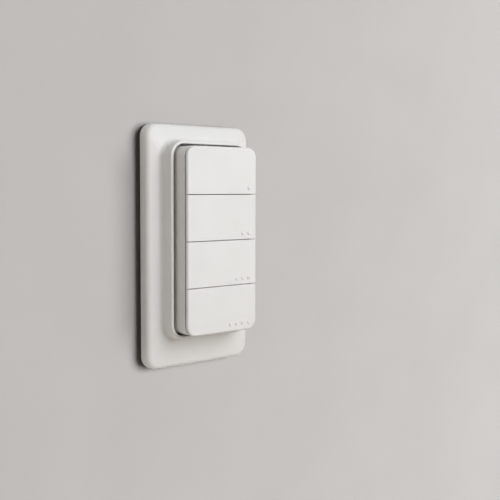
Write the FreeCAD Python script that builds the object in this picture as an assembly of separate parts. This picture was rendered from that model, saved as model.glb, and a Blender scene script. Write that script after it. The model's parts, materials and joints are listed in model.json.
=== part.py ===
# Wall holder with a four-key cordless remote for switching and dimming lights.
# Millimetres. The wall is the plane Y = 0, the object stands out along -Y, and +Z is up.
# The origin is on the wall, behind the middle of the holder's plate.
# "depth" is counted outwards from the back rim of the holder's plate,
# and "level" is counted outwards from the remote's back.
import FreeCAD, Part
import math
import os

V = FreeCAD.Vector

# Adhesive foam pad between the wall and the holder
pad_thickness = 1.2
pad_width = 28.0
pad_height = 44.0
pad_corner = 3.0

# Holder: plate
plate_side_margin = 5.15
plate_top_margin = 5.85
plate_bottom_margin = 11.05
plate_corner = 4.5
plate_edge_depth = 4.3
plate_face_rise = 1.8
plate_edge_round = 1.9
plate_wall = 1.7
back_skin = 1.6

# Holder: collar round the remote
collar_depth = 11.4
collar_wall = 1.1
collar_gap = 0.9
cove_radius = 1.9
rim_round = 0.3

# Holder: pocket floor
seat_depth = 4.5
rib_wall = 1.0
rib_pitch = 11.0
channel_rib_pitch = 14.0
guide_length = 3.9
guide_width = 1.4
guide_clearance = 0.2
guide_spacing = 34.0

# Wall screws that the holder can take
screw_hole_radius = 2.1
screw_from_pocket_end = 5.4
screw_boss_radius = 4.5
screw_boss_depth = 2.2

# Magnets in the remote and steel keepers in the holder
magnet_radius = 4.0
magnet_thickness = 2.0
magnet_chamfer = 0.15
magnet_clearance = 0.1
magnet_pocket_wall = 0.8
magnet_inset = 0.3
magnet_from_door = 0.4
keeper_radius = 5.0
keeper_thickness = 1.0
keeper_chamfer = 0.12
keeper_sink = 0.1

# Remote: case
remote_width = 30.4
remote_height = 65.0
remote_thickness = 13.6
remote_corner = 3.6
case_wall = 1.5
case_floor = 1.6
case_back_round = 1.0
case_rib_drop = 1.0

# Remote: keys
key_count = 4
key_end_extra = 0.5
key_gap = 0.25
key_side = 0.95
key_travel = 0.5
key_seam_clearance = 0.2
key_edge_round = 0.7
key_gap_round = 0.15
key_plug_depth = 0.5
key_plug_clearance = 0.3
key_foot_radius = 1.6
key_rib_wall = 0.8
key_rib_depth = 0.8
key_rib_from_leg = 0.6
key_leg_width = 4.0
key_leg_wall = 1.1
key_leg_inset = 0.3
key_leg_chamfer = 0.35
key_hook_reach = 0.8
key_hook_height = 0.7
key_hook_tip = 0.3
key_hook_play = 0.2

# Dots that number the keys
dot_radius = 0.6
dot_depth = 0.4
dot_pitch = 2.8
dot_from_side = 3.45
dot_from_edge = 2.1

# Remote: frame under the keys
frame_thickness = 1.2
frame_clearance = 0.3
frame_slot_clearance = 0.2
frame_rail_wall = 1.2
frame_rail_clearance = 0.2
frame_over_radio = 0.25
frame_post_radius = 2.2

# Remote: circuit board and what is soldered to it
board_thickness = 1.0
board_width = 21.8
board_height = 60.0
board_corner = 1.5
switch_size = 6.0
switch_body_height = 2.5
switch_chamfer = 0.4
switch_window_clearance = 0.3
plunger_radius = 1.7
plunger_chamfer = 0.2
plunger_rise = 1.3
plunger_depth = 0.6
plunger_clearance = 0.05
plunger_end_clearance = 0.1
radio_width = 9.0
radio_length = 6.4
radio_height = 0.9
radio_edge_round = 0.2

# Remote: coin cell and contacts
cell_radius = 10.0
cell_thickness = 3.2
cell_lid_inset = 1.1
cell_lid_round = 0.15
cell_step = 0.5
cell_from_door = 0.1
contact_thickness = 0.25
contact_width = 4.0
contact_room = 1.0
contact_reach = 6.0
contact_bend = 2.0
contact_tip = 1.0
contact_clip_foot = 1.6
contact_clip_clearance = 0.2

# Remote: quarter-turn battery door
door_sink = 0.1
door_cell_clearance = 0.7
door_flange_lip = 1.2
door_flange = 0.6
door_flange_clearance = 0.1
door_edge_round = 0.15
door_thickness = 1.5
door_ring_wall = 0.95
door_ring_height = 1.1
door_clearance = 0.15
door_tab_reach = 0.95
door_tab_height = 0.75
door_tab_angle = 20.0
door_turn = 30.0
door_slot_play = 4.0
coin_slot_length = 14.0
coin_slot_width = 2.0
coin_slot_depth = 0.8

# Screws that hold the frame and the board to the case
case_screw_radius = 0.95
case_screw_head_radius = 1.75
case_screw_head_height = 1.2
case_screw_head_round = 0.45
case_screw_clearance = 0.05
case_screw_hole_clearance = 0.25
case_screw_end_clearance = 0.3
case_screw_from_board_side = 2.5
case_screw_from_board_end = 3.5
case_boss_radius = 2.3
cross_slot_reach = 1.05
cross_slot_width = 0.5
cross_slot_depth = 0.6

# How far a cutting shape runs past the face it cuts, and how close two edges count as one plane
cut_past = 1.0
same_place = 1e-4

# Values that follow from the ones above
key_pitch = (remote_height - 2 * key_end_extra) / key_count
collar_half_width = remote_width / 2 + collar_gap
collar_half_height = remote_height / 2 + collar_gap
collar_corner = remote_corner + collar_gap
collar_lift = (plate_bottom_margin - plate_top_margin) / 2
outer_half_width = collar_half_width + collar_wall
outer_half_height = collar_half_height + collar_wall
outer_corner = collar_corner + collar_wall
plate_width = 2 * (outer_half_width + plate_side_margin)
plate_height = 2 * outer_half_height + plate_bottom_margin + plate_top_margin
screw_hole_spacing = 2 * (collar_half_height - screw_from_pocket_end)
face_depth = plate_edge_depth + plate_face_rise
case_top = remote_thickness - key_side - key_travel - key_seam_clearance
skirt_level = remote_thickness - key_side
plug_level = skirt_level - key_plug_depth
door_radius = cell_radius + door_cell_clearance + door_ring_wall
door_flange_radius = door_radius + door_flange_lip
magnet_pocket_radius = magnet_radius + magnet_clearance
magnet_spacing = 2 * (door_flange_radius + door_clearance + magnet_from_door + magnet_pocket_radius)
cell_level = door_thickness + cell_from_door
board_level = cell_level + cell_thickness + contact_room
board_top = board_level + board_thickness
switch_top = board_top + switch_body_height
plunger_top = switch_top + plunger_rise
frame_level = board_top + radio_height + frame_over_radio
frame_top = frame_level + frame_thickness
inner_half_width = remote_width / 2 - case_wall
inner_half_height = remote_height / 2 - case_wall
plug_half_width = inner_half_width - key_plug_clearance
frame_half_width = inner_half_width - frame_clearance
frame_half_height = inner_half_height - frame_clearance
leg_outer = plug_half_width - key_leg_inset
leg_inner = leg_outer - key_leg_wall
case_screw_bore = case_screw_radius + case_screw_clearance
case_screw_hole = case_screw_radius + case_screw_hole_clearance


def depth_y(depth):
    """Y of a depth counted from the back rim of the holder's plate."""
    return -(pad_thickness + depth)


def level_y(level):
    """Y of a level counted from the remote's back."""
    return depth_y(seat_depth + level)


def outline(half_width, half_height, radius, y, middle_z=0.0):
    """Rounded rectangle as a wire in a plane that faces the wall."""
    x = half_width
    z = half_height
    bend = radius * (1 - math.sqrt(0.5))
    corners = ((1, 1), (-1, 1), (-1, -1), (1, -1))
    edges = []
    for number, (sx, sz) in enumerate(corners):
        along = V(sx * (x - radius), y, middle_z + sz * z)
        down = V(sx * x, y, middle_z + sz * (z - radius))
        middle = V(sx * (x - bend), y, middle_z + sz * (z - bend))
        start, end = (down, along) if sx * sz > 0 else (along, down)
        edges.append(Part.Arc(start, middle, end).toShape())
        nx, nz = corners[(number + 1) % len(corners)]
        if nx * nz > 0:
            following = V(nx * x, y, middle_z + nz * (z - radius))
        else:
            following = V(nx * (x - radius), y, middle_z + nz * z)
        edges.append(Part.LineSegment(end, following).toShape())
    return Part.Wire(edges)


def slab(half_width, half_height, radius, y_back, y_front, middle_z=0.0):
    """Solid rounded rectangle between two planes."""
    wire = outline(half_width, half_height, radius, y_back, middle_z)
    return Part.Face(wire).extrude(V(0, y_front - y_back, 0))


def block(x_low, x_high, y_back, y_front, z_low, z_high):
    """Plain block between two planes."""
    return Part.makeBox(x_high - x_low, y_back - y_front, z_high - z_low, V(x_low, y_front, z_low))


def disc(radius, y_back, y_front, x=0.0, z=0.0):
    """Cylinder whose axis stands out from the wall."""
    return Part.makeCylinder(radius, y_back - y_front, V(x, y_back, z), V(0, -1, 0))


def joined(shapes):
    """One solid from shapes that touch or overlap."""
    return shapes[0].multiFuse(shapes[1:]).removeSplitter()


def edges_in_plane(shape, y=None, z=None, keep=None):
    """Edges that lie wholly in a plane of constant Y or Z."""
    found = []
    for edge in shape.Edges:
        box = edge.BoundBox
        if y is not None and max(abs(box.YMin - y), abs(box.YMax - y)) > same_place:
            continue
        if z is not None and max(abs(box.ZMin - z), abs(box.ZMax - z)) > same_place:
            continue
        if keep is None or keep(edge):
            found.append(edge)
    return found


def lies_at(edge, y):
    """Whether an edge lies wholly at one Y or behind it."""
    return edge.BoundBox.YMax >= y - same_place and edge.BoundBox.YLength <= same_place


def save(name, shape):
    """Write one sub-part and say how large it is."""
    solids = shape.Solids
    good = all(solid.isValid() for solid in solids)
    if len(solids) == 1:
        shape = solids[0]
    shape.exportStep("parts/" + name + ".step")
    print("%-26s solids %d volume %9.2f valid %s" % (name, len(solids), shape.Volume, good))


# Holder

def plate_body():
    """Plate whose face rises towards the collar, its soft front edge and the collar, before it is cored."""
    half_width = plate_width / 2
    half_height = plate_height / 2
    edge_y = depth_y(plate_edge_depth)
    face_y = depth_y(face_depth)
    rim_y = depth_y(collar_depth)
    base = slab(half_width, half_height, plate_corner, depth_y(0), edge_y)
    foot = outline(outer_half_width, outer_half_height, outer_corner, face_y, collar_lift)
    border = outline(half_width, half_height, plate_corner, edge_y)
    crown = Part.makeLoft([border, foot], True, True)
    collar = slab(outer_half_width, outer_half_height, outer_corner, edge_y, rim_y, collar_lift)
    body = joined([base, crown, collar])
    outer_edges = edges_in_plane(body, y=edge_y)
    body = body.makeFillet(plate_edge_round, outer_edges)
    body = body.makeFillet(cove_radius, edges_in_plane(body, y=face_y))
    return body


def guide_rib(x, z, turn):
    """Centring rib in the pocket, with a sloping lead-in, that stops below the rim."""
    foot_y = depth_y(back_skin)
    seat_y = depth_y(seat_depth)
    top_y = depth_y(seat_depth + guide_length)
    reach = collar_gap - guide_clearance
    sunk = collar_wall / 2
    profile = [
        V(-sunk, foot_y, 0),
        V(reach, foot_y, 0),
        V(reach, seat_y, 0),
        V(reach, top_y + reach, 0),
        V(0, top_y, 0),
        V(-sunk, top_y, 0),
    ]
    face = Part.Face(Part.makePolygon(profile + profile[:1]))
    rib = face.extrude(V(0, 0, guide_width))
    rib.translate(V(0, 0, -guide_width / 2))
    rib.rotate(V(0, 0, 0), V(0, 1, 0), turn)
    rib.translate(V(x, 0, z + collar_lift))
    return rib


def pocket_ribs():
    """Grid of ribs on the pocket floor that the remote's back rests on."""
    back = depth_y(back_skin)
    front = depth_y(seat_depth)
    ribs = []
    half = rib_wall / 2
    reach_x = collar_half_width
    reach_z = collar_half_height
    columns = int(reach_x // rib_pitch)
    for column in range(-columns, columns + 1):
        x = column * rib_pitch
        ribs.append(block(x - half, x + half, back, front, collar_lift - reach_z, collar_lift + reach_z))
    rows = int(reach_z // rib_pitch)
    for row in range(-rows, rows + 1):
        z = collar_lift + row * rib_pitch
        ribs.append(block(-reach_x, reach_x, back, front, z - half, z + half))
    return ribs


def channel_ribs():
    """Short ribs across the hollow behind the plate's margin."""
    half_width = plate_width / 2 - plate_wall / 2
    half_height = plate_height / 2 - plate_wall / 2
    roof = depth_y(plate_edge_depth - plate_wall)
    ribs = []
    rows = int(half_height // channel_rib_pitch)
    for row in range(-rows, rows + 1):
        z = row * channel_rib_pitch
        ribs.append(block(-half_width, half_width, depth_y(0), roof, z - rib_wall / 2, z + rib_wall / 2))
    for x in (-channel_rib_pitch / 2, channel_rib_pitch / 2):
        ribs.append(block(x - rib_wall / 2, x + rib_wall / 2, depth_y(0), roof, -half_height, half_height))
    return ribs


def make_wall_plate():
    """Holder moulding: plate, collar, ribbed pocket, cored back and screw holes."""
    body = plate_body()
    rim_y = depth_y(collar_depth)
    skin_y = depth_y(back_skin)
    above_rim = rim_y - cut_past
    pocket = slab(collar_half_width, collar_half_height, collar_corner, skin_y, above_rim, collar_lift)
    body = body.cut(pocket)
    body = body.makeFillet(rim_round, edges_in_plane(body, y=rim_y))

    roof = depth_y(plate_edge_depth - plate_wall)
    inner_width = plate_width - 2 * plate_wall
    inner_height = plate_height - 2 * plate_wall
    around = slab(inner_width / 2, inner_height / 2, plate_corner - plate_wall, cut_past, roof)
    core = slab(outer_half_width, outer_half_height, outer_corner, cut_past, roof, collar_lift)
    channel = around.cut(core).cut(Part.makeCompound(channel_ribs()))
    body = body.cut(channel)

    keeper_floor = depth_y(seat_depth - keeper_sink - keeper_thickness)
    seat_y = depth_y(seat_depth)
    additions = pocket_ribs()
    holes = []
    for side in (-1, 1):
        keeper_z = collar_lift + side * magnet_spacing / 2
        screw_z = collar_lift + side * screw_hole_spacing / 2
        additions.append(disc(keeper_radius + rib_wall, skin_y, seat_y, 0, keeper_z))
        holes.append(disc(keeper_radius + magnet_clearance, keeper_floor, seat_y - cut_past, 0, keeper_z))
        holes.append(disc(screw_boss_radius, depth_y(screw_boss_depth), seat_y - cut_past, 0, screw_z))
        additions.append(disc(screw_boss_radius + rib_wall, skin_y, seat_y, 0, screw_z))
        holes.append(disc(screw_hole_radius, cut_past, seat_y, 0, screw_z))
    inside = slab(
        collar_half_width + collar_wall / 2, collar_half_height + collar_wall / 2,
        collar_corner + collar_wall / 2, skin_y, seat_y, collar_lift
    )
    grid = joined(additions).common(inside)
    for side in (-1, 1):
        inward = 0 if side < 0 else 180
        for end in (-1, 1):
            grid = grid.fuse(guide_rib(side * collar_half_width, end * guide_spacing / 2, inward))
        grid = grid.fuse(guide_rib(0, side * collar_half_height, 90 * side))
    body = body.fuse(grid).cut(Part.makeCompound(holes)).removeSplitter()
    return body


def make_adhesive_pad():
    """Foam pad that sticks the flat middle of the holder's back to the wall."""
    return slab(pad_width / 2, pad_height / 2, pad_corner, 0, depth_y(0))


def make_keeper(side):
    """Steel disc in its ring on the pocket floor."""
    front = depth_y(seat_depth - keeper_sink)
    back = depth_y(seat_depth - keeper_sink - keeper_thickness)
    keeper = disc(keeper_radius, back, front, 0, collar_lift + side * magnet_spacing / 2)
    return keeper.makeChamfer(keeper_chamfer, edges_in_plane(keeper, y=front))


# Remote

def screw_places():
    """The four places where screws hold the frame and board to the case."""
    x = board_width / 2 - case_screw_from_board_side
    z = board_height / 2 - case_screw_from_board_end
    for side in (-1, 1):
        for end in (-1, 1):
            yield side * x, collar_lift + end * z


def sector(radius, y_back, y_front, middle_angle, width_angle):
    """Pie-shaped slice of a disc about the remote's middle, angles counted from +X towards +Z."""
    half = width_angle / 2
    steps = (-half, 0.0, half)
    start, middle, end = [
        V(
            radius * math.cos(math.radians(middle_angle + step)),
            y_back,
            collar_lift + radius * math.sin(math.radians(middle_angle + step)),
        )
        for step in steps
    ]
    centre = V(0, y_back, collar_lift)
    wire = Part.Wire([
        Part.LineSegment(centre, start).toShape(),
        Part.Arc(start, middle, end).toShape(),
        Part.LineSegment(end, centre).toShape(),
    ])
    return Part.Face(wire).extrude(V(0, y_front - y_back, 0))


def make_remote_case():
    """Case open to the front, with magnet pockets, the door's opening and the screw bosses."""
    half_width = remote_width / 2
    half_height = remote_height / 2
    back = level_y(0)
    floor = level_y(case_floor)
    top = level_y(case_top)
    case = slab(half_width, half_height, remote_corner, back, top, collar_lift)
    case = case.makeFillet(case_back_round, edges_in_plane(case, y=back))
    inside = slab(
        inner_half_width, inner_half_height, remote_corner - case_wall, floor, top - cut_past, collar_lift
    )
    case = case.cut(inside)

    magnet_top = magnet_inset + magnet_thickness
    additions = []
    holes = []
    for side in (-1, 1):
        z = collar_lift + side * magnet_spacing / 2
        roof = level_y(magnet_top + magnet_pocket_wall)
        additions.append(disc(magnet_pocket_radius + magnet_pocket_wall, floor, roof, 0, z))
        holes.append(disc(magnet_pocket_radius, back + cut_past, level_y(magnet_top), 0, z))
    for x, z in screw_places():
        additions.append(disc(case_boss_radius, floor, level_y(board_level), x, z))
        holes.append(disc(case_screw_bore, floor, top, x, z))
        wall_x = math.copysign(inner_half_width + case_wall / 2, x)
        low, high = sorted((x, wall_x))
        rib_top = level_y(board_level - case_rib_drop)
        additions.append(block(low, high, floor, rib_top, z - rib_wall / 2, z + rib_wall / 2))
    recess = level_y(door_sink + door_flange + door_flange_clearance)
    holes.append(disc(door_flange_radius + door_clearance, back + cut_past, recess, 0, collar_lift))
    holes.append(disc(door_radius + door_clearance, back + cut_past, floor - cut_past, 0, collar_lift))
    for half_turn in (0, 180):
        holes.append(
            sector(
                door_radius + door_tab_reach + door_clearance, back + cut_past, floor - cut_past,
                half_turn - door_turn, door_tab_angle + door_slot_play
            )
        )
    case = joined([case] + additions)
    return case.cut(Part.makeCompound(holes)).removeSplitter()


def make_magnet(side):
    """Disc magnet set in the remote's back."""
    z = collar_lift + side * magnet_spacing / 2
    magnet = disc(magnet_radius, level_y(magnet_inset), level_y(magnet_inset + magnet_thickness), 0, z)
    return magnet.makeChamfer(magnet_chamfer, edges_in_plane(magnet, y=level_y(magnet_inset)))


def make_battery_door():
    """Round door with a coin slot, a ring round the cell and two tabs behind the case's back."""
    back = level_y(door_sink)
    flange_top = level_y(door_sink + door_flange)
    door = disc(door_flange_radius, back, flange_top, 0, collar_lift)
    door = door.makeFillet(door_edge_round, edges_in_plane(door, y=back))
    inner = level_y(door_thickness)
    ring_top = level_y(door_thickness + door_ring_height)
    body = disc(door_radius, flange_top, ring_top, 0, collar_lift)
    hollow = disc(door_radius - door_ring_wall, inner, ring_top - cut_past, 0, collar_lift)
    tabs = []
    tab_low = level_y(case_floor + door_clearance)
    tab_high = level_y(case_floor + door_clearance + door_tab_height)
    for half_turn in (0, 180):
        tab = sector(door_radius + door_tab_reach, tab_low, tab_high, half_turn, door_tab_angle)
        middle_of_ring = door_radius - door_ring_wall / 2
        tabs.append(tab.cut(disc(middle_of_ring, tab_low + cut_past, tab_high - cut_past, 0, collar_lift)))
    door = joined([door, body.cut(hollow)] + tabs)
    half = (coin_slot_length - coin_slot_width) / 2
    slot_floor = level_y(door_sink + coin_slot_depth)
    slot_half = coin_slot_width / 2
    slot = joined([
        block(-half, half, back + cut_past, slot_floor, collar_lift - slot_half, collar_lift + slot_half),
        disc(slot_half, back + cut_past, slot_floor, -half, collar_lift),
        disc(slot_half, back + cut_past, slot_floor, half, collar_lift),
    ])
    return door.cut(slot)


def make_coin_cell():
    """Coin cell: a shallow can with a smaller stepped lid towards the board."""
    low = level_y(cell_level)
    high = level_y(cell_level + cell_thickness)
    step = level_y(cell_level + cell_thickness - cell_step)
    can = disc(cell_radius, low, step, 0, collar_lift)
    can = can.makeFillet(cell_step, edges_in_plane(can, y=low))
    lid = disc(cell_radius - cell_lid_inset, step, high, 0, collar_lift)
    lid = lid.makeFillet(cell_lid_round, edges_in_plane(lid, y=high))
    return joined([can, lid])


def bent_strip(points, width, middle_z):
    """Sheet metal strip: an outline across the strip, extruded over its width."""
    corners = [V(x, level_y(level), middle_z - width / 2) for x, level in points]
    return Part.Face(Part.makePolygon(corners + corners[:1])).extrude(V(0, 0, width))


def make_contact_negative():
    """Leaf spring soldered under the board, bent down to the lid of the cell."""
    cell_top = cell_level + cell_thickness
    leaf = contact_thickness
    under = board_level - leaf
    reach = contact_reach
    bend = contact_bend
    pad_end = reach - contact_tip
    points = [
        (-reach, board_level), (-reach, under), (-bend, under), (bend, cell_top), (pad_end, cell_top),
        (reach, cell_top + leaf), (pad_end, cell_top + leaf), (bend + leaf, cell_top + leaf),
        (leaf - bend, board_level),
    ]
    return bent_strip(points, contact_width, collar_lift)


def make_contact_positive():
    """Side clip soldered under the board that presses on the rim of the cell."""
    leaf = contact_thickness
    side = cell_radius + contact_clip_clearance
    foot = side - contact_clip_foot
    end = cell_level + 2 * cell_step
    points = [
        (foot, board_level), (foot, board_level - leaf), (side, board_level - leaf),
        (side, end), (side + leaf, end), (side + leaf, board_level),
    ]
    return bent_strip(points, contact_width, collar_lift)


def make_circuit_board():
    """Board with clearance holes for the case screws."""
    low = level_y(board_level)
    high = level_y(board_top)
    board = slab(board_width / 2, board_height / 2, board_corner, low, high, collar_lift)
    for x, z in screw_places():
        board = board.cut(disc(case_screw_hole, low + cut_past, high - cut_past, x, z))
    return board


def key_middle(number):
    """Height at which a key is pressed and guided, counted from the top one."""
    return collar_lift + (key_count / 2 - number - 0.5) * key_pitch


def make_switch_body(number):
    """Push switch on the board, bored for its plunger."""
    z = key_middle(number)
    half = switch_size / 2
    body = block(-half, half, level_y(board_top), level_y(switch_top), z - half, z + half)
    top = level_y(switch_top)
    bore_floor = level_y(switch_top - plunger_depth - key_travel - plunger_end_clearance)
    bore = disc(plunger_radius + plunger_clearance, bore_floor, top - cut_past, 0, z)
    return body.makeChamfer(switch_chamfer, edges_in_plane(body, y=top)).cut(bore)


def make_switch_plunger(number):
    """Round plunger that the key pushes into its switch."""
    top = level_y(plunger_top)
    plunger = disc(plunger_radius, level_y(switch_top - plunger_depth), top, 0, key_middle(number))
    return plunger.makeChamfer(plunger_chamfer, edges_in_plane(plunger, y=top))


def make_radio_module():
    """Shielded radio module on the board, midway between the two lowest switches."""
    z = (key_middle(key_count - 1) + key_middle(key_count - 2)) / 2
    half_width = radio_width / 2
    half_length = radio_length / 2
    top = level_y(board_top + radio_height)
    module = block(-half_width, half_width, level_y(board_top), top, z - half_length, z + half_length)
    return module.makeFillet(radio_edge_round, edges_in_plane(module, y=top))


def make_key_frame():
    """Frame over the board: windows for the switches, notches for the keys' legs, rails between keys."""
    low = level_y(frame_level)
    high = level_y(frame_top)
    frame = slab(frame_half_width, frame_half_height, remote_corner - case_wall, low, high, collar_lift)
    rail_top = level_y(plug_level - key_travel - frame_rail_clearance)
    reach = frame_half_width
    half = frame_rail_wall / 2
    additions = []
    for number in range(1, key_count):
        z = key_middle(number) + key_pitch / 2
        additions.append(block(-reach, reach, low, rail_top, z - half, z + half))
    holes = []
    window = switch_size / 2 + switch_window_clearance
    notch = key_leg_width / 2 + frame_slot_clearance
    for number in range(key_count):
        z = key_middle(number)
        holes.append(block(-window, window, low + cut_past, high - cut_past, z - window, z + window))
        for side in (-1, 1):
            ends = sorted((side * (leg_inner - frame_slot_clearance), side * (reach + cut_past)))
            holes.append(block(ends[0], ends[1], low + cut_past, high - cut_past, z - notch, z + notch))
    for x, z in screw_places():
        additions.append(disc(frame_post_radius, level_y(board_top), high, x, z))
        holes.append(disc(case_screw_hole, level_y(board_top) + cut_past, high - cut_past, x, z))
    return joined([frame] + additions).cut(Part.makeCompound(holes)).removeSplitter()


def make_case_screws():
    """Four small pan-head screws with a cross recess."""
    screws = []
    for x, z in screw_places():
        head_low = level_y(frame_top)
        head_high = level_y(frame_top + case_screw_head_height)
        head = disc(case_screw_head_radius, head_low, head_high, x, z)
        head = head.makeFillet(case_screw_head_round, edges_in_plane(head, y=head_high))
        shank_end = level_y(case_floor + case_screw_end_clearance)
        shank = disc(case_screw_radius, shank_end, head_low, x, z)
        screw = joined([head, shank])
        arm = cross_slot_reach
        cut_low = level_y(frame_top + case_screw_head_height - cross_slot_depth)
        for half_x, half_z in ((arm, cross_slot_width / 2), (cross_slot_width / 2, arm)):
            cut_high = head_high - cut_past
            screw = screw.cut(block(x - half_x, x + half_x, cut_low, cut_high, z - half_z, z + half_z))
        screws.append(screw)
    return Part.makeCompound(screws)


# Keys

def key_stack():
    """All four key fronts as one rounded slab, before it is divided."""
    front = level_y(remote_thickness)
    skirt = level_y(skirt_level)
    stack = slab(remote_width / 2, remote_height / 2, remote_corner, skirt, front, collar_lift)
    return stack.makeFillet(key_edge_round, edges_in_plane(stack, y=front))


def make_key(number, stack):
    """Key cap with its plug, foot, stiffening ribs, two hooked legs and its dots."""
    middle = key_middle(number)
    z_low = middle - key_pitch / 2 + (key_gap / 2 if number < key_count - 1 else -key_end_extra)
    z_high = middle + key_pitch / 2 - (key_gap / 2 if number > 0 else -key_end_extra)
    front = level_y(remote_thickness)
    skirt = level_y(skirt_level)
    reach = remote_width
    cap = stack.common(block(-reach, reach, skirt, front, z_low, z_high))
    divided = []
    for z, divides in ((z_low, number < key_count - 1), (z_high, number > 0)):
        if divides:
            divided += edges_in_plane(cap, z=z, keep=lambda edge: not lies_at(edge, skirt))
    cap = cap.makeFillet(key_gap_round, divided)

    plug_low = level_y(plug_level)
    plug_stack = slab(plug_half_width, inner_half_height - key_plug_clearance,
                      remote_corner - case_wall - key_plug_clearance, skirt, plug_low, collar_lift)
    inset = key_plug_clearance
    plug = plug_stack.common(block(-reach, reach, plug_low, skirt, z_low + inset, z_high - inset))
    pieces = [cap, plug]
    foot = disc(key_foot_radius, level_y(plunger_top), plug_low, 0, middle)
    pieces.append(foot)
    rib_end = level_y(plug_level - key_rib_depth)
    half = leg_inner - key_rib_from_leg
    half_rib = key_rib_wall / 2
    pieces.append(block(-half, half, rib_end, plug_low, middle - half_rib, middle + half_rib))
    leg_end = frame_level - key_hook_play - key_hook_height
    for side in (-1, 1):
        profile = [
            (leg_outer, plug_level), (leg_outer, leg_end + key_leg_chamfer),
            (leg_outer - key_leg_chamfer, leg_end), (leg_inner, leg_end),
            (leg_inner - key_hook_reach, leg_end + key_hook_height - key_hook_tip),
            (leg_inner - key_hook_reach, leg_end + key_hook_height),
            (leg_inner, leg_end + key_hook_height), (leg_inner, plug_level),
        ]
        corners = [V(side * x, level_y(level), middle - key_leg_width / 2) for x, level in profile]
        leg = Part.Face(Part.makePolygon(corners + corners[:1])).extrude(V(0, 0, key_leg_width))
        pieces.append(leg)
    key = joined(pieces)
    ball_radius = (dot_radius ** 2 + dot_depth ** 2) / (2 * dot_depth)
    ball_y = level_y(remote_thickness - dot_depth + ball_radius)
    dots = []
    for dot in range(number + 1):
        x = remote_width / 2 - dot_from_side - dot * dot_pitch
        z = middle - key_pitch / 2 + key_gap / 2 + dot_from_edge
        dots.append(Part.makeSphere(ball_radius, V(x, ball_y, z)))
    return key.cut(Part.makeCompound(dots))


def main():
    os.makedirs("parts", exist_ok=True)
    save("wall_plate", make_wall_plate())
    save("adhesive_pad", make_adhesive_pad())
    save("keeper_upper", make_keeper(1))
    save("keeper_lower", make_keeper(-1))
    save("remote_case", make_remote_case())
    save("magnet_upper", make_magnet(1))
    save("magnet_lower", make_magnet(-1))
    save("battery_door", make_battery_door())
    save("coin_cell", make_coin_cell())
    save("battery_contact_negative", make_contact_negative())
    save("battery_contact_positive", make_contact_positive())
    save("circuit_board", make_circuit_board())
    save("radio_module", make_radio_module())
    save("key_frame", make_key_frame())
    save("case_screws", make_case_screws())
    stack = key_stack()
    for number in range(key_count):
        save("key_%d" % (number + 1), make_key(number, stack))
        save("switch_body_%d" % (number + 1), make_switch_body(number))
        save("switch_plunger_%d" % (number + 1), make_switch_plunger(number))


main()
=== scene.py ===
# %% [markdown]
# # A wall holder with a cordless four-key remote
#
# This lesson dresses a finished mechanical model. The solids, their sizes and their joints come from
# the frame. What is left for Blender is everything that the eye judges: how smooth a moulded edge
# looks, how a satin plastic scatters light, how dark a thin seam is, and what light falls on it all.

# %% Load the mechanical model
import json
import math

import bmesh
import bpy
from mathutils import Matrix, Vector


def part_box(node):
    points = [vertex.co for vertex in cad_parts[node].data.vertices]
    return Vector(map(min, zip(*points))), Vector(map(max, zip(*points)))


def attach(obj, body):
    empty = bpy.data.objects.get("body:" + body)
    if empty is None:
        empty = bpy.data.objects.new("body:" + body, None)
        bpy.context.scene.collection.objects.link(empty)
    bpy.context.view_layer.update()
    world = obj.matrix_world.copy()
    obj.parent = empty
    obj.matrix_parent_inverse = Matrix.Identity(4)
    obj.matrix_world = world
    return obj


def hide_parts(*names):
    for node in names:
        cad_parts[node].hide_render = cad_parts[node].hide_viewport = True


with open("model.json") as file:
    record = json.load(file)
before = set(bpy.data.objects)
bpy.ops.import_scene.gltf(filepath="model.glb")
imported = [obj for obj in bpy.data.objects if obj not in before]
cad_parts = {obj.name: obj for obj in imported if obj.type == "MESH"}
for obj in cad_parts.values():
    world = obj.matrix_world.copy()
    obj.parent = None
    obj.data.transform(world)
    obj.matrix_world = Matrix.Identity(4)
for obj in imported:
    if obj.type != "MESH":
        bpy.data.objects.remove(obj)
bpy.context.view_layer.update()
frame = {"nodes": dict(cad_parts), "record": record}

# The frame's own unit is the metre, so a size in millimetres is written as a number times this.
MM = 0.001

# %% [markdown]
# ## Small helpers for node trees
#
# Finishes, rules for repeated shapes and the sky are all node trees. Writing out each node by hand
# hides what matters, so one function adds a node, sets its plain values and links its inputs in one
# call. A tiny class on top of it holds the steps that every finish shares. Patterns read Object
# coordinates: the objects all sit at the origin, so a coordinate is a real place in metres and a
# pattern keeps its real scale on every piece.

# %% One call for one node
def is_socket(value):
    """True for another node's output, false for a plain value."""
    return isinstance(value, bpy.types.NodeSocket)


def add_node(tree, kind, inputs=None, **settings):
    """Adds a node to a tree, with its settings, its plain values and its links."""
    made = tree.nodes.new(kind)
    for key, value in settings.items():
        setattr(made, key, value)
    for socket, value in (inputs or {}).items():
        if is_socket(value):
            tree.links.new(value, made.inputs[socket])
        else:
            made.inputs[socket].default_value = value
    return made


def arithmetic(tree, operation, first, second):
    """One step of arithmetic in a tree."""
    return add_node(tree, "ShaderNodeMath", {0: first, 1: second}, operation=operation).outputs[0]


print("helpers", add_node.__name__, arithmetic.__name__)

# %% A small recipe book for finishes
# A Mix node has a set of sockets for each kind of value. These are the places of its colour sockets.
MIX_FACTOR = 0
MIX_FIRST = 6
MIX_SECOND = 7
MIX_RESULT = 2


def dimmed(colour, share):
    """A colour whose channels are brought down to a share of themselves."""
    return tuple(channel * share for channel in colour)


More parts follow.
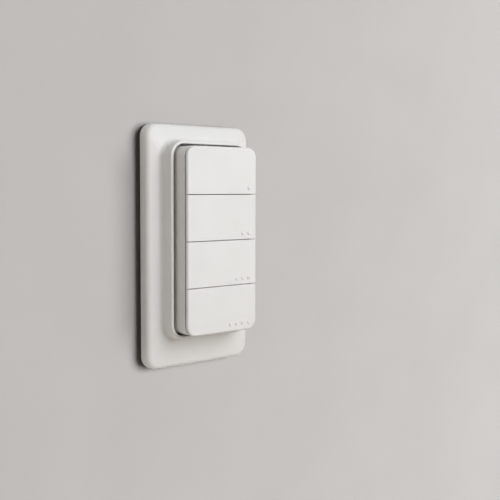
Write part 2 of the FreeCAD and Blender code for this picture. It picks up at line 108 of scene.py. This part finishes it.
class Recipe:
    """Builds one material's node tree, step by step."""

    def __init__(self, name):
        self.material = bpy.data.materials.new(name)
        self.material.use_nodes = True
        self.tree = self.material.node_tree
        self.tree.nodes.clear()
        self.place = self.node("ShaderNodeTexCoord").outputs["Object"]

    def node(self, kind, inputs=None, **settings):
        """Adds a node to this material."""
        return add_node(self.tree, kind, inputs, **settings)

    def noise(self, grain, detail=2.0, roughness=0.5):
        """Soft noise whose patches are about as large as grain, in metres."""
        return self.node("ShaderNodeTexNoise", {
            "Vector": self.place, "Scale": 1.0 / grain, "Detail": detail, "Roughness": roughness,
        }).outputs["Fac"]

    def spread(self, value, low=0.0, high=1.0, start=0.35, end=0.65):
        """Maps the middle part of a noise, from start to end, onto a range."""
        return self.node("ShaderNodeMapRange", {
            "Value": value, "From Min": start, "From Max": end, "To Min": low, "To Max": high,
        }).outputs["Result"]

    def blend(self, factor, first, second):
        """Mixes two colours by a factor."""
        first, second = [value if is_socket(value) else (*value, 1.0) for value in (first, second)]
        return self.node("ShaderNodeMix", {
            MIX_FACTOR: factor, MIX_FIRST: first, MIX_SECOND: second,
        }, data_type="RGBA").outputs[MIX_RESULT]

    def relief(self, height, depth, strength):
        """Turns a height into a bump of that depth in metres."""
        return self.node("ShaderNodeBump", {
            "Height": height, "Distance": depth, "Strength": strength,
        }).outputs["Normal"]

    def end(self, shader):
        """Sends a shader to the surface and hands the material over."""
        self.node("ShaderNodeOutputMaterial", {"Surface": shader.outputs[0]})
        return self.material

    def finish(self, **inputs):
        """Ends the tree in one principled shader."""
        sockets = {
            "color": "Base Color", "roughness": "Roughness", "normal": "Normal", "metallic": "Metallic",
            "specular": "Specular IOR Level",
        }
        values = {sockets[key]: value for key, value in inputs.items()}
        return self.end(self.node("ShaderNodeBsdfPrincipled", values))


print("steps of a recipe", [step for step in vars(Recipe) if not step.startswith("_")])

# %% [markdown]
# ## Satin moulded plastic
#
# The holder, the case and the keys are moulded in one kind of warm white plastic. A tool for such a
# part is spark-eroded, which leaves a very fine grain, so the surface is satin and never mirror-like.
# A single colour and roughness would look like a computer drawing. Three noises at three scales fix
# that: a grain of a few tenths of a millimetre as relief, a slow drift of tone over centimetres as
# the melt cooled unevenly, and a roughness that varies a little where hands have polished it.

# %% Warm white moulded plastic
DRIFT_ACROSS = 18 * MM
DRIFT_SHARE = 0.97
POLISH_ACROSS = 1.1 * MM
PLASTIC_SHINE = 0.42


def moulded(name, colour, gloss, grain=0.22 * MM, grain_depth=0.006 * MM):
    """Satin plastic; gloss is its lowest and highest roughness."""
    recipe = Recipe(name)
    drift = recipe.noise(DRIFT_ACROSS, detail=3.0)
    fine = recipe.noise(grain, detail=3.0, roughness=0.6)
    polish = recipe.noise(POLISH_ACROSS)
    return recipe.finish(
        color=recipe.blend(recipe.spread(drift), colour, dimmed(colour, DRIFT_SHARE)),
        roughness=recipe.spread(polish, *gloss),
        normal=recipe.relief(fine, grain_depth, strength=0.6),
        specular=PLASTIC_SHINE,
    )


PLASTICS = {
    "holder_plastic": {"colour": (0.800, 0.792, 0.770), "gloss": (0.42, 0.52)},
    "case_plastic": {"colour": (0.790, 0.780, 0.757), "gloss": (0.42, 0.52)},
    "key_plastic": {"colour": (0.812, 0.805, 0.785), "gloss": (0.38, 0.46), "grain": 0.18 * MM},
    "door_plastic": {"colour": (0.780, 0.770, 0.750), "gloss": (0.50, 0.60), "grain": 0.3 * MM,
                     "grain_depth": 0.012 * MM},
    "frame_plastic": {"colour": (0.42, 0.42, 0.41), "gloss": (0.45, 0.55)},
    "switch_black": {"colour": (0.035, 0.035, 0.038), "gloss": (0.35, 0.50)},
    "plunger_grey": {"colour": (0.20, 0.20, 0.21), "gloss": (0.35, 0.45)},
}
finishes = {name: moulded(name, **look) for name, look in PLASTICS.items()}
print("plastics", len(finishes))

# %% [markdown]
# ## Metals inside the remote and in the pocket
#
# Turned or ground metal shows fine lines that follow the tool, and that is what makes it read as
# metal. For discs the lines are rings, so the pattern is a wave over the distance from the disc's
# own middle. A Mapping node moves the object's origin there.

# %% Ring-brushed and plated metals
RING_PITCH = 0.05 * MM
# A wave texture whose scale is 1 repeats at this distance.
RING_PITCH_AT_SCALE_ONE = 0.314
RING_DEPTH = 0.0015 * MM
STAIN_ACROSS = 2.5 * MM
STAIN_SHARE = 0.82


def plated(name, colour, gloss, centre):
    """Metal whose fine lines are rings about an axis that stands out from the wall."""
    recipe = Recipe(name)
    local = recipe.node("ShaderNodeMapping", {
        "Vector": recipe.place, "Location": tuple(-centre),
    }).outputs["Vector"]
    rings = recipe.node("ShaderNodeTexWave", {
        "Vector": local, "Scale": RING_PITCH_AT_SCALE_ONE / RING_PITCH, "Distortion": 1.2,
        "Detail": 2.0, "Detail Scale": 2.0,
    }, wave_type="RINGS", rings_direction="Y").outputs["Fac"]
    stain = recipe.noise(STAIN_ACROSS, detail=4.0)
    return recipe.finish(
        color=recipe.blend(recipe.spread(stain), colour, dimmed(colour, STAIN_SHARE)),
        roughness=recipe.spread(stain, *gloss),
        normal=recipe.relief(rings, RING_DEPTH, strength=0.5),
        metallic=1.0,
    )


def middle(node):
    """Middle of a node's box."""
    low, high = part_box(node)
    return (low + high) / 2


NICKEL = ((0.70, 0.69, 0.67), (0.12, 0.26))
ZINC = ((0.52, 0.53, 0.55), (0.28, 0.46))
STAINLESS = ((0.66, 0.66, 0.66), (0.16, 0.30))
TINNED_SHEET = ((0.60, 0.60, 0.61), (0.25, 0.40))
SCREW_ZINC = ((0.48, 0.48, 0.50), (0.25, 0.40))
SPRING_STRIP = ((0.78, 0.70, 0.50), (0.20, 0.35))
METALS = {
    "magnet_upper": NICKEL,
    "magnet_lower": NICKEL,
    "keeper_upper": ZINC,
    "keeper_lower": ZINC,
    "coin_cell": STAINLESS,
    "radio_module": TINNED_SHEET,
    "case_screws": SCREW_ZINC,
    "battery_contact_negative": SPRING_STRIP,
    "battery_contact_positive": SPRING_STRIP,
}
metal_finish = {}
for node, (colour, gloss) in METALS.items():
    metal_finish[node] = plated("metal_" + node, colour, gloss, middle(node))
print("metals", len(metal_finish))

# %% [markdown]
# ## Foam pad and circuit board
#
# Foam is a crowd of tiny cells, so a Voronoi pattern of about half a millimetre gives its relief and a
# painted shade in the pit of each cell. The circuit board carries copper tracks under a green varnish:
# bricks laid with wide joints already look like tracks, raised by a few hundredths of a millimetre.

# %% Closed-cell foam
FOAM_CELL = 0.5 * MM
FOAM_RELIEF = 0.06 * MM
# Painted shade: the colour in the pit of each foam cell is brought down to this share.
FOAM_PIT_SHADE_SHARE = 0.62


def foam(name, colour):
    """Matte foam with a painted shade that darkens the pit of each cell, where its relief is deepest."""
    recipe = Recipe(name)
    depth = recipe.node("ShaderNodeTexVoronoi", {
        "Vector": recipe.place, "Scale": 1 / FOAM_CELL,
    }).outputs["Distance"]
    # Painted shade: the colour is darkest where the cell's relief is lowest, in its pit.
    painted_pit_shade = recipe.spread(depth, start=0.1, end=0.8)
    return recipe.finish(
        color=recipe.blend(painted_pit_shade, dimmed(colour, FOAM_PIT_SHADE_SHARE), colour),
        roughness=recipe.spread(depth, low=0.75, high=0.95, start=0.0, end=0.8),
        normal=recipe.relief(depth, FOAM_RELIEF, strength=0.8),
        specular=0.25,
    )


finishes["foam_pad"] = foam("foam_pad", (0.56, 0.56, 0.54))
print("foam cells of", FOAM_CELL / MM, "mm")

# %% Varnished board
TRACK_LENGTH = 3.1 * MM
TRACK_PITCH = 0.9 * MM
TRACK_GAP = 0.16 * MM
TRACK_RELIEF = 0.03 * MM
VARNISH_CLOUD = 3.0 * MM
DARK_VARNISH = (0.012, 0.085, 0.030)
LIGHT_VARNISH = (0.018, 0.120, 0.045)
VARNISHED_COPPER = (0.035, 0.20, 0.075)


def varnished_board(name):
    """Green varnish over copper tracks; the pattern is turned to lie on the upright board."""
    recipe = Recipe(name)
    turned = recipe.node("ShaderNodeMapping", {
        "Vector": recipe.place, "Rotation": (math.pi / 2, 0, 0),
    }).outputs["Vector"]
    tracks = recipe.node("ShaderNodeTexBrick", {
        "Vector": turned, "Scale": 1.0, "Mortar Size": TRACK_GAP, "Mortar Smooth": 0.1,
        "Brick Width": TRACK_LENGTH, "Row Height": TRACK_PITCH,
    }).outputs["Fac"]
    cloud = recipe.noise(VARNISH_CLOUD, detail=3.0)
    varnish = recipe.blend(recipe.spread(cloud), DARK_VARNISH, LIGHT_VARNISH)
    return recipe.finish(
        color=recipe.blend(tracks, varnish, VARNISHED_COPPER),
        roughness=recipe.spread(cloud, low=0.18, high=0.30),
        normal=recipe.relief(tracks, TRACK_RELIEF, strength=0.7),
        specular=0.5,
    )


finishes["board_laminate"] = varnished_board("board_laminate")
print("finishes by slot", len(finishes))

# %% [markdown]
# ## Smooth moulded edges
#
# A packed solid is made of flat triangles. On a soft moulding each fillet should roll light over its
# edge without a step. The shape itself is right, so a copy of the mesh is merged at its seams and its
# faces are shaded smooth, except over true corners. Normals are then weighted by the size of the
# faces, which keeps the large flat faces flat and leaves all the turning to the fillets.

# %% A smooth-shaded skin for a moulded solid
SEAM = 0.001 * MM
TRUE_CORNER = math.radians(32)
FULL_WEIGHT = 100


def in_scene(name, data):
    """A new object at the origin that carries a mesh, a camera or a lamp."""
    made = bpy.data.objects.new(name, data)
    bpy.context.scene.collection.objects.link(made)
    return made


def smooth_skin(name, node, body, slot):
    """A merged, smooth-shaded copy of a solid that stands for it."""
    mesh = frame["nodes"][node].data.copy()
    mesh.name = name
    soft = bmesh.new()
    soft.from_mesh(mesh)
    bmesh.ops.remove_doubles(soft, verts=soft.verts, dist=SEAM)
    bmesh.ops.dissolve_degenerate(soft, edges=soft.edges, dist=SEAM)
    for edge in soft.edges:
        edge.smooth = len(edge.link_faces) == 2 and edge.calc_face_angle(0.0) < TRUE_CORNER
    for face in soft.faces:
        face.smooth = True
    soft.to_mesh(mesh)
    soft.free()
    mesh.materials.clear()
    mesh.materials.append(finishes[slot])
    piece = in_scene(name, mesh)
    weighted = piece.modifiers.new("Even normals", "WEIGHTED_NORMAL")
    weighted.keep_sharp = True
    weighted.weight = FULL_WEIGHT
    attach(piece, body)
    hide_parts(node)
    return piece


print("corners sharper than", round(math.degrees(TRUE_CORNER)), "degrees stay sharp")

# %% Skins for the plate, the case, the door, the frame and the keys
KEY_NUMBERS = range(1, 5)
skins = {
    "holder_skin": ("wall_plate", "wall_holder", "holder_plastic"),
    "case_skin": ("remote_case", "remote", "case_plastic"),
    "door_skin": ("battery_door", "battery_door", "door_plastic"),
    "frame_skin": ("key_frame", "remote", "frame_plastic"),
}
for number in KEY_NUMBERS:
    skins["key_skin_%d" % number] = ("key_%d" % number, "key_%d" % number, "key_plastic")
for name, (node, body, slot) in skins.items():
    skin = smooth_skin(name, node, body, slot)
    print(name, "faces", len(skin.data.polygons))

# %% [markdown]
# ## Raised dots on the keys
#
# One to four small bumps tell the fingers which key they are on. Each is a low dome that grows out of
# its own seat in the key, so with the light above and to the right its lower left is dark. Four nearly
# equal rows could be modelled by hand, but a rule says it better: Geometry Nodes lays points on a line
# and puts one squashed sphere on each. The count, the pitch and the dome's size are its inputs.

# %% The start and the end of every rule
def new_rule(name, inputs):
    """An empty Geometry Nodes tree with named inputs, and the identifier of each."""
    tree = bpy.data.node_groups.new(name, "GeometryNodeTree")
    tree.interface.new_socket("Geometry", in_out="INPUT", socket_type="NodeSocketGeometry")
    sockets = {}
    for label, kind in inputs.items():
        made = tree.interface.new_socket(label, in_out="INPUT", socket_type="NodeSocket" + kind)
        sockets[label] = made.identifier
    tree.interface.new_socket("Geometry", in_out="OUTPUT", socket_type="NodeSocketGeometry")
    return tree, sockets


def end_rule(tree, points, stencil, turn, scale, material):
    """Ends a rule: a copy of the stencil on every point, made real, smooth and given its finish."""
    copies = add_node(tree, "GeometryNodeInstanceOnPoints", {
        "Points": points, "Instance": stencil, "Rotation": turn, "Scale": scale})
    real = add_node(tree, "GeometryNodeRealizeInstances", {"Geometry": copies.outputs[0]})
    smooth = add_node(tree, "GeometryNodeSetShadeSmooth", {"Geometry": real.outputs[0]})
    dressed = add_node(tree, "GeometryNodeSetMaterial", {
        "Geometry": smooth.outputs[0], "Material": material})
    add_node(tree, "NodeGroupOutput", {"Geometry": dressed.outputs[0]})


print("helpers", new_rule.__name__, end_rule.__name__)

# %% From a rule and its values to a plain mesh
def grown(name, rule, values, places):
    """Runs a rule on a few points and keeps the result as a plain mesh."""
    tree, sockets = rule
    seeds = bpy.data.meshes.new(name + "_places")
    seeds.from_pydata(places, [], [])
    source = in_scene(name + "_places", seeds)
    modifier = source.modifiers.new("Rule", "NODES")
    modifier.node_group = tree
    for label, value in values.items():
        modifier[sockets[label]] = value
    bpy.context.view_layer.update()
    result = source.evaluated_get(bpy.context.evaluated_depsgraph_get())
    mesh = bpy.data.meshes.new_from_object(result)
    mesh.name = name
    bpy.data.objects.remove(source)
    return in_scene(name, mesh)


# %% The rule for a row of domes
DOME_SEGMENTS = 32
DOME_RINGS = 16
UNTURNED = (0.0, 0.0, 0.0)


def row_of_domes():
    """A row that starts at a point and runs to the left, with one dome on each point."""
    tree, sockets = new_rule("row_of_domes", {
        "Count": "Int", "Pitch": "Float", "Start": "Vector", "Radius": "Float", "Height": "Float",
        "Finish": "Material"})
    given = add_node(tree, "NodeGroupInput").outputs
    to_left = arithmetic(tree, "MULTIPLY", given["Pitch"], -1.0)
    step = add_node(tree, "ShaderNodeCombineXYZ", {"X": to_left})
    line = add_node(tree, "GeometryNodeMeshLine", {
        "Count": given["Count"], "Start Location": given["Start"], "Offset": step.outputs[0],
    }, mode="OFFSET")
    ball = add_node(tree, "GeometryNodeMeshUVSphere", {
        "Segments": DOME_SEGMENTS, "Rings": DOME_RINGS, "Radius": 1.0})
    squash = add_node(tree, "ShaderNodeCombineXYZ", {
        "X": given["Radius"], "Y": given["Height"], "Z": given["Radius"]})
    end_rule(tree, line.outputs[0], ball.outputs[0], UNTURNED, squash.outputs[0], given["Finish"])
    return tree, sockets


dome_rule = row_of_domes()
print("inputs of the row", list(dome_rule[1]))

# %% Dots on the four keys
DOT_RADIUS = 0.70 * MM
DOT_HEIGHT = 0.44 * MM
DOT_PITCH = 2.8 * MM
DOT_FROM_SIDE = 3.45 * MM
DOT_FROM_EDGE = 2.1 * MM
LAST_KEY_LONGER = 0.5 * MM

for number in KEY_NUMBERS:
    low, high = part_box("key_%d" % number)
    above_edge = DOT_FROM_EDGE + (LAST_KEY_LONGER if number == KEY_NUMBERS[-1] else 0.0)
    start = (high.x - DOT_FROM_SIDE, low.y, low.z + above_edge)
    dots = grown("dots_%d" % number, dome_rule, {
        "Count": number, "Pitch": DOT_PITCH, "Start": start, "Radius": DOT_RADIUS,
        "Height": DOT_HEIGHT, "Finish": finishes["key_plastic"]}, [start])
    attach(dots, "key_%d" % number)
    print(dots.name, "faces", len(dots.data.polygons))

# %% [markdown]
# ## Threads of the case screws
#
# The four screws that close the remote are thread-forming screws: a thin sharp thread, with a wide
# pitch, cuts its own way into the plastic boss. The solid has the head, the cross and a plain core. A
# thread is a small triangle swept along a helix, so the rule is a spiral curve with a profile, copied
# to the four places and laid over, so that it runs along the screw into the case.

# %% The rule for a helical thread
STEPS_PER_TURN = 28
THREAD_SIDES = 3
LAID_OVER = (math.pi / 2, 0.0, 0.0)
FULL_SIZE = (1.0, 1.0, 1.0)


def helical_thread():
    """A thread on every point that the rule is given."""
    tree, sockets = new_rule("helical_thread", {
        "Turns": "Float", "Pitch": "Float", "Radius": "Float", "Size": "Float", "Finish": "Material"})
    given = add_node(tree, "NodeGroupInput").outputs
    helix = add_node(tree, "GeometryNodeCurveSpiral", {
        "Resolution": STEPS_PER_TURN, "Rotations": given["Turns"], "Start Radius": given["Radius"],
        "End Radius": given["Radius"],
        "Height": arithmetic(tree, "MULTIPLY", given["Turns"], given["Pitch"])})
    edge = add_node(tree, "GeometryNodeCurvePrimitiveCircle", {
        "Resolution": THREAD_SIDES, "Radius": given["Size"]})
    thread = add_node(tree, "GeometryNodeCurveToMesh", {
        "Curve": helix.outputs[0], "Profile Curve": edge.outputs[0], "Fill Caps": True})
    end_rule(tree, given["Geometry"], thread.outputs[0], LAID_OVER, FULL_SIZE, given["Finish"])
    return tree, sockets


thread_rule = helical_thread()
print("inputs of the thread", list(thread_rule[1]))

# %% Threads on the four screws
SCREW_HEAD_RADIUS = 1.75 * MM
SCREW_CORE_RADIUS = 0.95 * MM
THREAD_PITCH = 0.8 * MM
THREAD_TURNS = 6
THREAD_SIZE = 0.20 * MM
THREAD_TO_END = 0.4 * MM

low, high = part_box("case_screws")
screw_tips = [(x, high.y - THREAD_TO_END, z)
              for x in (low.x + SCREW_HEAD_RADIUS, high.x - SCREW_HEAD_RADIUS)
              for z in (low.z + SCREW_HEAD_RADIUS, high.z - SCREW_HEAD_RADIUS)]
threads = grown("case_screw_threads", thread_rule, {
    "Turns": THREAD_TURNS, "Pitch": THREAD_PITCH, "Radius": SCREW_CORE_RADIUS, "Size": THREAD_SIZE,
    "Finish": metal_finish["case_screws"]}, screw_tips)
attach(threads, "remote")
print(threads.name, "faces", len(threads.data.polygons))

# %% [markdown]
# ## The foam pad
#
# The pad is a die-cut piece of foam tape, squeezed between the holder and the wall. Squeezed foam
# bulges at its cut edge: it is widest at half its thickness and held in at both glued faces. A stack
# of rounded outlines, each drawn in a little by its distance from the middle, gives that edge.

# %% A stack of rounded outlines
PAD_CORNER = 3.0 * MM
PAD_PINCH = 0.14 * MM
PAD_LAYERS = 8
STEPS_PER_CORNER = 10
QUARTERS = ((1, 1), (-1, 1), (-1, -1), (1, -1))


def rounded_outline(centre, half_x, half_z, corner, y):
    """Points of a rounded rectangle that stands upright at one depth."""
    points = []
    for quarter, (side_x, side_z) in enumerate(QUARTERS):
        for step in range(STEPS_PER_CORNER + 1):
            angle = math.pi / 2 * (quarter + step / STEPS_PER_CORNER)
            x = side_x * (half_x - corner) + corner * math.cos(angle)
            z = side_z * (half_z - corner) + corner * math.sin(angle)
            points.append((centre.x + x, y, centre.z + z))
    return points


low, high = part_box("adhesive_pad")
pad_middle = middle("adhesive_pad")
half = (high - low) / 2
layers = []
for layer in range(PAD_LAYERS + 1):
    across = 2 * layer / PAD_LAYERS - 1
    pinch = PAD_PINCH * across ** 2
    depth = pad_middle.y + half.y * across
    layers.append(rounded_outline(pad_middle, half.x - pinch, half.z - pinch, PAD_CORNER - pinch, depth))
print("outlines", len(layers), "of", len(layers[0]), "points")

# %% Squeezed foam tape
around = len(layers[0])
last_layer = PAD_LAYERS * around
faces = [tuple(range(around)), tuple(reversed(range(last_layer, last_layer + around)))]
for here in range(0, last_layer, around):
    for n in range(around):
        after = (n + 1) % around
        faces.append((here + n, here + around + n, here + around + after, here + after))
pad_mesh = bpy.data.meshes.new("foam_tape")
pad_mesh.from_pydata([point for outline in layers for point in outline], [], faces)
outward = bmesh.new()
outward.from_mesh(pad_mesh)
bmesh.ops.recalc_face_normals(outward, faces=outward.faces)
for face in outward.faces:
    face.smooth = len(face.verts) == 4
outward.to_mesh(pad_mesh)
outward.free()
pad_mesh.materials.append(finishes["foam_pad"])
foam_tape = in_scene("foam_tape", pad_mesh)
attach(foam_tape, "wall_holder")
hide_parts("adhesive_pad")
print("foam tape", [round(value / MM, 2) for value in foam_tape.dimensions], "mm")

# %% [markdown]
# ## Finishes on the solids that stay
#
# Flat, small or hidden solids need no skin of their own. They only get their material, by the slot
# that the record names for each of them.

# %% Give every remaining solid its finish
slot_of = {entry["node"]: entry["material_slot"] for entry in frame["record"]["subparts"]}
replaced = {node for node, body, slot in skins.values()} | {"adhesive_pad"}
for node, piece in frame["nodes"].items():
    if node in replaced:
        continue
    piece.data.materials.clear()
    piece.data.materials.append(metal_finish.get(node) or finishes[slot_of[node]])
print("solids kept", len(frame["nodes"]) - len(replaced))

# %% [markdown]
# ## Stage: a plain wall and a plain floor
#
# The holder lives on a wall, and the dark line round its plate is the thin gap in which the foam pad
# stands. So the stage needs a wall right behind the pad. The paint is one-sided: from behind it is
# clear, so that the back of the holder can be looked at too. The patch of wall that the plate hides is
# a sheet of its own. Light from behind may pass through that patch and reach the holder's back, while
# the rest of the wall keeps it away from the thin gap and from everything in front.
#
# The floor is far below the holder and lights it from there. Its own paint is a warm grey, which keeps
# that light faint and warm. Seen directly, in a reflection or through glass, it is evenly pale instead.

# %% Steps that the paints share
CLOUD_ACROSS = 40 * MM
CLOUD_SHARE = 0.97
PAINT_ROUGHNESS = 0.6


def seen_rays(tree):
    """1 for rays from the camera, from a reflection or through glass, and 0 for all others."""
    rays = add_node(tree, "ShaderNodeLightPath").outputs
    direct = arithmetic(tree, "MAXIMUM", rays["Is Camera Ray"], rays["Is Glossy Ray"])
    return arithmetic(tree, "MAXIMUM", direct, rays["Is Transmission Ray"])


def mixed_shader(tree, factor, first, second):
    """A mix of two shaders."""
    return add_node(tree, "ShaderNodeMixShader", {0: factor, 1: first.outputs[0], 2: second.outputs[0]})


def matte(recipe, colour):
    """A matte shader whose tone drifts a little over the width of a hand."""
    cloud = recipe.noise(CLOUD_ACROSS, detail=3.0)
    tone = recipe.blend(recipe.spread(cloud), colour, dimmed(colour, CLOUD_SHARE))
    return recipe.node("ShaderNodeBsdfDiffuse", {"Color": tone, "Roughness": PAINT_ROUGHNESS})


print("tone drifts over", CLOUD_ACROSS / MM, "mm")

# %% Paint for the wall and for the floor
WALL_COLOUR = (0.160, 0.1565, 0.152)
FLOOR_COLOUR = (0.245, 0.222, 0.200)
SEEN_FLOOR = (0.76, 0.755, 0.74, 1.0)
SEEN_FLOOR_SHARE = 0.85


def one_sided(name, colour):
    """Matte paint on the front of a sheet; its back is clear."""
    recipe = Recipe(name)
    clear = recipe.node("ShaderNodeBsdfTransparent")
    behind = recipe.node("ShaderNodeNewGeometry").outputs["Backfacing"]
    return recipe.end(mixed_shader(recipe.tree, behind, matte(recipe, colour), clear))


def floor_paint(name, colour):
    """Matte paint that lights the holder from below, and looks evenly pale when it is seen."""
    recipe = Recipe(name)
    paint = matte(recipe, colour)
    pale = recipe.node("ShaderNodeEmission", {"Color": SEEN_FLOOR})
    even = mixed_shader(recipe.tree, SEEN_FLOOR_SHARE, paint, pale)
    return recipe.end(mixed_shader(recipe.tree, seen_rays(recipe.tree), paint, even))


wall_paint = one_sided("wall_paint", WALL_COLOUR)
warm_floor = floor_paint("floor_paint", FLOOR_COLOUR)
print("paints", wall_paint.name, warm_floor.name)

# %% Plain wall and floor
STAGE_REACH = 3.0
FLOOR_LEVEL = -0.45
WALL_PLACE = 0.02 * MM
PATCH_INSET = 1.2 * MM


def sheet_of(name, paint, corners, hole=()):
    """A flat painted sheet on the stage, with an optional hole of as many corners."""
    count = len(corners)
    faces = [tuple(range(count))]
    if hole:
        faces = [(n, (n + 1) % count, count + (n + 1) % count, count + n) for n in range(count)]
    mesh = bpy.data.meshes.new(name)
    mesh.from_pydata([*corners, *hole], [], faces)
    mesh.materials.append(paint)
    made = in_scene(name, mesh)
    return made


def rectangle(low_u, high_u, low_v, high_v):
    """Corners of a flat rectangle, in turn."""
    return [(low_u, low_v), (high_u, low_v), (high_u, high_v), (low_u, high_v)]


low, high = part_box("wall_plate")
hidden = rectangle(low.x + PATCH_INSET, high.x - PATCH_INSET, low.z + PATCH_INSET, high.z - PATCH_INSET)
whole_wall = rectangle(-STAGE_REACH, STAGE_REACH, FLOOR_LEVEL, STAGE_REACH)
whole_floor = rectangle(-STAGE_REACH, STAGE_REACH, -STAGE_REACH, STAGE_REACH)
patch_corners = [(x, WALL_PLACE, z) for x, z in hidden]
wall_corners = [(x, WALL_PLACE, z) for x, z in whole_wall]
floor_corners = [(x, y, FLOOR_LEVEL) for x, y in whole_floor]
wall = sheet_of("wall", wall_paint, wall_corners, hole=patch_corners)
wall_patch = sheet_of("wall_patch", wall_paint, patch_corners)
floor = sheet_of("floor", warm_floor, floor_corners)
print("patch", [round(value / MM, 1) for value in wall_patch.dimensions], "mm")

# %% [markdown]
# ## Camera
#
# The photograph looks at the holder from its left, nearly level. The camera's place and turns below
# are real sizes, found by matching the edges of the plate and the keys.

# %% Camera at the photograph's viewpoint
CAMERA_PLACE = Vector((-0.1794, -0.2454, 0.0214))
CAMERA_TURN = math.radians(40.29)
CAMERA_DOWN = math.radians(4.379)
CAMERA_ROLL = math.radians(0.219)
CAMERA_LENS = 59.74
SENSOR_WIDTH = 36.0

ahead = Vector((math.sin(CAMERA_TURN), math.cos(CAMERA_TURN), 0))
right = Vector((math.cos(CAMERA_TURN), -math.sin(CAMERA_TURN), 0))
up = Vector((0, 0, 1))
tilted_ahead = ahead * math.cos(CAMERA_DOWN) - up * math.sin(CAMERA_DOWN)
tilted_up = up * math.cos(CAMERA_DOWN) + ahead * math.sin(CAMERA_DOWN)
rolled_right = right * math.cos(CAMERA_ROLL) + tilted_up * math.sin(CAMERA_ROLL)
rolled_up = tilted_up * math.cos(CAMERA_ROLL) - right * math.sin(CAMERA_ROLL)
facing = Matrix((rolled_right, rolled_up, -tilted_ahead)).transposed()

camera_data = bpy.data.cameras.new("camera")
camera_data.lens = CAMERA_LENS
camera_data.sensor_width = SENSOR_WIDTH
camera_data.sensor_fit = "HORIZONTAL"
camera_data.clip_start = 5 * MM
camera = in_scene("camera", camera_data)
camera.matrix_world = Matrix.Translation(CAMERA_PLACE) @ facing.to_4x4()
bpy.context.scene.camera = camera
print("camera", [round(value, 4) for value in CAMERA_PLACE])

# %% [markdown]
# ## Light
#
# A large soft lamp hangs close in front of the holder, above it and a little to the right, near enough
# for the upper keys to be brighter than the lower ones. It lights everything but the wall, and leaves
# the holder's left sides in shade. The wall has a lamp of its own, further to the right and nearly
# level, which draws the soft shadow at the plate's left edge. That lamp reaches the wall and the floor
# only, and what the floor sends up is the light from below. The sky is brightest overhead and dimmest
# at the left, as in a room with a pale ceiling. What the camera sees of it, directly, in a reflection
# or through glass, is an even pale background instead. The back lamp shines through the hidden patch
# of wall only.

# %% Lamps
def lamp(name, place, size, power, colour=(1.0, 1.0, 1.0)):
    """A round soft lamp that faces the origin, in the middle of the holder's back."""
    data = bpy.data.lights.new(name, "AREA")
    data.color = colour
    data.shape = "DISK"
    data.size = size
    data.energy = power
    made = in_scene(name, data)
    facing = Vector(place).to_track_quat("Z", "Y")
    made.matrix_world = Matrix.Translation(place) @ facing.to_matrix().to_4x4()
    return made


def towards(turn, rise, reach):
    """A place at some distance, turned to the right of the holder's front and raised, in degrees."""
    turn, rise = math.radians(turn), math.radians(rise)
    level = reach * math.cos(rise)
    return (level * math.sin(turn), -level * math.cos(turn), reach * math.sin(rise))


key_lamp = lamp("key_lamp", place=towards(turn=8, rise=23, reach=0.58), size=0.42, power=2.55,
                colour=(0.97, 1.0, 1.04))
side_lamp = lamp("side_lamp", place=towards(turn=27, rise=6, reach=1.20), size=0.80, power=77.0)
back_lamp = lamp("back_lamp", place=(-0.45, 0.80, 0.45), size=0.9, power=7.0)
print("lamps", key_lamp.name, side_lamp.name, back_lamp.name)

# %% What each lamp reaches
def group_of(name, sheets, link_state="INCLUDE"):
    """A named group of sheets that a lamp's links include or leave out."""
    group = bpy.data.collections.new(name)
    for sheet in sheets:
        group.objects.link(sheet)
    for entry in group.collection_objects:
        entry.light_linking.link_state = link_state
    return group


key_lamp.light_linking.receiver_collection = group_of(
    "lit_by_key_lamp", (wall, wall_patch), link_state="EXCLUDE")
side_lamp.light_linking.receiver_collection = group_of(
    "lit_by_side_lamp", (wall, wall_patch, floor))
back_lamp.light_linking.blocker_collection = group_of(
    "clear_for_back_lamp", (wall_patch,), link_state="EXCLUDE")

# %% Sky
SKY_BASE = 0.104
SKY_ABOVE = 0.22
SKY_RIGHT = 0.12
SKY_TINT = (1.0, 0.93, 0.85, 1.0)
BACKGROUND = (0.82, 0.82, 0.81, 1.0)

world = bpy.data.worlds.new("sky")
bpy.context.scene.world = world
world.use_nodes = True
sky_tree = world.node_tree
sky_tree.nodes.clear()
looking = add_node(sky_tree, "ShaderNodeTexCoord").outputs["Generated"]
direction = add_node(sky_tree, "ShaderNodeSeparateXYZ", {0: looking}).outputs


def brighter_towards(axis, most):
    """Light that grows from nothing, at right angles to an axis, to its most along the axis."""
    return arithmetic(sky_tree, "MULTIPLY", arithmetic(sky_tree, "MAXIMUM", direction[axis], 0.0), most)


slope = arithmetic(sky_tree, "ADD", brighter_towards("Z", SKY_ABOVE), brighter_towards("X", SKY_RIGHT))
sky = add_node(sky_tree, "ShaderNodeBackground", {
    "Color": SKY_TINT, "Strength": arithmetic(sky_tree, "ADD", SKY_BASE, slope)})
background = add_node(sky_tree, "ShaderNodeBackground", {"Color": BACKGROUND})
seen_sky = mixed_shader(sky_tree, seen_rays(sky_tree), sky, background)
add_node(sky_tree, "ShaderNodeOutputWorld", {"Surface": seen_sky.outputs[0]})
print("sky nodes", len(sky_tree.nodes))

# %% [markdown]
# ## Colour handling
#
# The Standard view shows a colour about as it is written. Only the low domes on the keys stand out
# past the solids.

# %% Finish
bpy.context.scene.view_settings.view_transform = "Standard"
